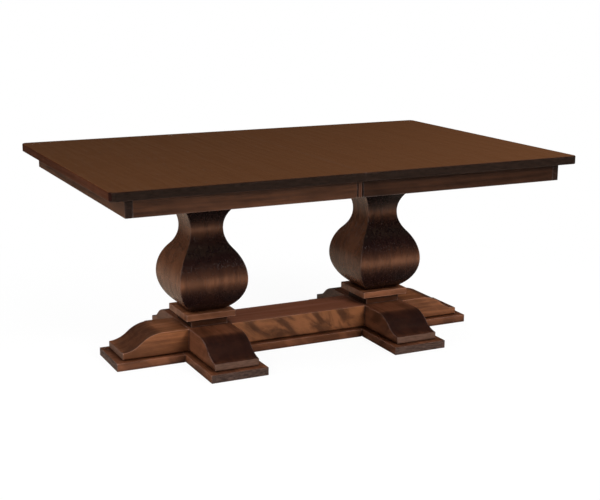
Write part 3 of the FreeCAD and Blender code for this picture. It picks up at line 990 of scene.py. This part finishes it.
def studio():
    """White floor, a dim room, and soft lamps in front, at the left, overhead and behind."""
    white_floor()
    dim_room()
    softbox("front softbox", place=(1.4, -3.6, 2.3), aim=(0, 0, 0.3), width=1.4, height=1.2, power=140)
    softbox("left softbox", place=(-3.6, -0.9, 3.0), aim=(-0.2, 0, 0.4), width=1.4, height=1.2, power=100)
    softbox("low left softbox", place=(-4.2, -2.2, 1.0), aim=(0, 0, 0.4), width=2.0, height=1.2, power=72)
    softbox("overhead softbox", place=(1.9, -0.5, 2.5), aim=(1.2, -0.4, 0), width=2.4, height=2.0, power=46)
    softbox("low front softbox", place=(-0.4, -4.6, 1.0), aim=(0, 0, 0.4), width=3.0, height=1.4, power=16)
    softbox("back softbox", place=(0, 4.6, 1.5), aim=(0, 0, 0.4), width=3.0, height=1.8, power=120)
    bpy.context.scene.view_settings.view_transform = "Standard"


def camera():
    """The photograph's camera."""
    lens = bpy.data.cameras.new("camera")
    lens.sensor_width = sensor_width
    lens.lens = focal_pixels * sensor_width / frame_pixels
    stand = bpy.data.objects.new("camera", lens)
    bpy.context.scene.collection.objects.link(stand)
    turn = Matrix.Rotation(-camera_yaw, 4, "Z") @ Matrix.Rotation(math.pi / 2 - camera_pitch, 4, "X")
    turn = turn @ Matrix.Rotation(camera_roll, 4, "Z")
    stand.location = camera_place
    stand.rotation_euler = turn.to_euler()
    bpy.context.scene.camera = stand


# The table


glued_boards = glued_boards_group()
wood_figure = wood_figure_group()
thirst_and_shade = thirst_and_shade_group()
corner_shade_and_stain = corner_shade_and_stain_group()
worn_and_highlit_arris = worn_and_highlit_arris_group()

# The boards of a post and of the feet meet on the middle line of each pedestal
post_low, post_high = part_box("urn_post_right")
pedestal_x = (post_low.x + post_high.x) / 2
post_board = pedestal_x / 2
foot_board = pedestal_x / 4

# Finishes of the top
top_wood = stained_wood(
    "top stained wood", "Y", deep=(0.104, 0.0405, 0.0155), warm=(0.129, 0.0515, 0.020), width=top_board,
    wear_and_highlight_share=0.2,
)
# Long-grain edges of the top are darker as painted shade
shaded_top_edge = stained_wood(
    "top edge wood with painted shade", "Y", deep=(0.035, 0.008, 0.0025), warm=(0.065, 0.016, 0.005),
    wear_and_highlight_share=0.2, gloss=0.15,
)
top_end = end_grain(
    "top end grain", "Y", deep=(0.007, 0.0035, 0.0023), warm=(0.019, 0.0095, 0.0062), width=top_board,
)
left_apron_wood = stained_wood(
    "left apron stained wood", "X", deep=(0.028, 0.010, 0.0045), warm=(0.088, 0.033, 0.015),
    corner_reach=0.012,
)
right_apron_wood = stained_wood(
    "right apron stained wood", "X", deep=(0.013, 0.005, 0.0024), warm=(0.045, 0.0175, 0.009),
    corner_reach=0.012, gloss=0.35,
)
end_apron_wood = stained_wood(
    "end apron stained wood", "Y", deep=(0.028, 0.010, 0.0045), warm=(0.085, 0.032, 0.015), gloss=0.3,
)
apron_end = end_grain("apron end grain", "Y", deep=(0.010, 0.005, 0.0035), warm=(0.026, 0.012, 0.008))
strip_wood = stained_wood(
    "seam strip stained wood", "Z", deep=(0.042, 0.015, 0.007), warm=(0.120, 0.044, 0.020),
)

# Finishes of the pedestals
# Cut grain on the posts darkens partly as painted shade, and the sides take little of it as painted light
post_wood = stained_wood(
    "post stained wood", "Z", deep=(0.076, 0.029, 0.014), warm=(0.178, 0.070, 0.034), width=post_board,
    depth=post_board, flame=0.3, soak_and_shade=1.0, half_slope=0.135, side_share=0.15, rough=(0.20, 0.30),
)
block_wood = stained_wood(
    "block stained wood", "X", deep=(0.090, 0.032, 0.014), warm=(0.280, 0.105, 0.048), soak_and_shade=0.2,
    corner_reach=0.012,
)
# The neck under the plinth is darker, and its painted corner shade reaches far, all as painted shade
shaded_neck_wood = stained_wood(
    "neck wood with painted shade", "X", deep=(0.045, 0.016, 0.007), warm=(0.150, 0.056, 0.025), soak_and_shade=0.2,
    corner_reach=0.07,
)
neck_end = end_grain("neck end grain", "X", deep=(0.008, 0.004, 0.0025), warm=(0.022, 0.010, 0.006))
foot_wood = stained_wood(
    "foot stained wood across", "Y", deep=(0.038, 0.012, 0.005), warm=(0.185, 0.064, 0.030),
    width=foot_board, flame=0.3, soak_and_shade=0.88,
)
foot_side = stained_wood(
    "foot side stained wood", "Y", deep=(0.040, 0.0135, 0.0063), warm=(0.180, 0.064, 0.030), flame=0.4,
    corner_reach=0.02,
)
foot_long_wood = stained_wood(
    "foot stained wood along", "X", deep=(0.100, 0.035, 0.0135), warm=(0.320, 0.117, 0.048),
    width=foot_board, flame=0.15, soak_and_shade=0.72, corner_reach=0.045,
)
stretcher_wood = stained_wood(
    "stretcher stained wood", "X", deep=(0.060, 0.023, 0.011), warm=(0.285, 0.107, 0.043), flame=0.72,
    corner_reach=0.02,
)
# The stretcher's top is lighter than its sides as painted light, and darker by the necks as painted shade
lit_stretcher_top = stained_wood(
    "stretcher top wood with painted light", "X", deep=(0.17, 0.059, 0.031), warm=(0.24, 0.084, 0.044), flame=0.15,
    corner_reach=0.04,
)

# Finishes that come with the grain across the table and along it
board_woods = {}
board_ends = {}
nose_ends = {}
maples = {}
for run, grain in (("across", "Y"), ("along", "X")):
    board_woods[run] = stained_wood(
        "board stained wood " + run, grain, deep=(0.045, 0.015, 0.0065), warm=(0.210, 0.076, 0.035),
        width=foot_board, flame=0.4,
    )
    board_ends[run] = end_grain(
        "board end grain " + run, grain, deep=(0.022, 0.012, 0.009), warm=(0.112, 0.064, 0.048),
        width=foot_board,
    )
    nose_ends[run] = end_grain(
        "nose end grain " + run, grain, deep=(0.080, 0.042, 0.028), warm=(0.150, 0.078, 0.052),
        width=foot_board,
    )
    maples[run] = stained_wood(
        "plain maple " + run, grain, deep=(0.42, 0.28, 0.15), warm=(0.62, 0.45, 0.27), soak_and_shade=0.3,
    )
steel = zinc_steel()

top_rim = {"Y": top_end, "X": shaded_top_edge}
top_half("left", "left_top", -1, top_wood, top_rim)
top_half("right", "right_top", 1, top_wood, top_rim)
for half, apron_wood in (("left", left_apron_wood), ("right", right_apron_wood)):
    body = half + "_top"
    eased_board(half + "_apron_end", half + "_end_apron", body,
                end_apron_wood, {"Y": apron_end})
    for face in ("front", "back"):
        node = half + "_" + face + "_apron"
        eased_board(half + "_apron_" + face, node, body, apron_wood)
seam_strips(strip_wood)

for side, outward in (("left", -1), ("right", 1)):
    urn_post(side, post_wood)
    eased_board("plinth_block_" + side, "plinth_" + side, "base", block_wood)
    eased_board("neck_" + side, "neck_block_" + side, "base", shaded_neck_wood, {"X": neck_end})
    cross_foot(side, foot_wood, {"Y": nose_ends["across"], "X": foot_side})
    end_foot(side, outward, foot_long_wood, {"X": nose_ends["along"]})
    eased_board("board_across_" + side, "cross_board_" + side, "base",
                board_woods["across"], {"Y": board_ends["across"]})
    eased_board("board_end_" + side, "end_board_" + side, "base",
                board_woods["along"], {"X": board_ends["along"]})
stretcher_beam(stretcher_wood, {"Z": lit_stretcher_top})
eased_board("board_stretcher", "stretcher_board", "base", board_woods["along"])

screws(steel)

# The solids that stay in view are of steel or of plain maple
for name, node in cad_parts.items():
    if node.hide_render:
        continue
    is_steel = name.startswith(("lock_", "pinion")) or name.endswith("_racks")
    maple = maples["across"] if name.startswith("cleat") else maples["along"]
    node.material_slots[0].material = steel if is_steel else maple

studio()
camera()
